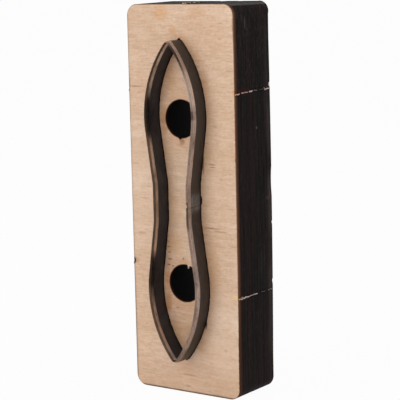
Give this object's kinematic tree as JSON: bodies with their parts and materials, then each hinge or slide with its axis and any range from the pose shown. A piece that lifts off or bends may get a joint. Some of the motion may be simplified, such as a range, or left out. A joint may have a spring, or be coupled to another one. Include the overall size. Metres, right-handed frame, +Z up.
{
  "type": "steel rule die",
  "caption": "Small steel rule die: a bevelled steel strip bent to a lobed bow outline stands out of an upright plywood block with push-out holes, to cut that shape from sheet.",
  "frame": {"origin": "middle of the board's lower end face, on which the die stands", "axes": "+Z up along the board's length, +Y out of the board's plain back, the cutting edge towards -Y, +X to the right seen from the cutting side"},
  "size_m": [0.0364, 0.0238, 0.1102],
  "materials": {
    "plywood": "pale face veneer, laser-charred edges",
    "rule_steel": "dark oxide strip with a ground bevel"
  },
  "bodies": {
    "root": {"die_board": "plywood", "cutting_rule": "rule_steel"}
  },
  "joints": []
}
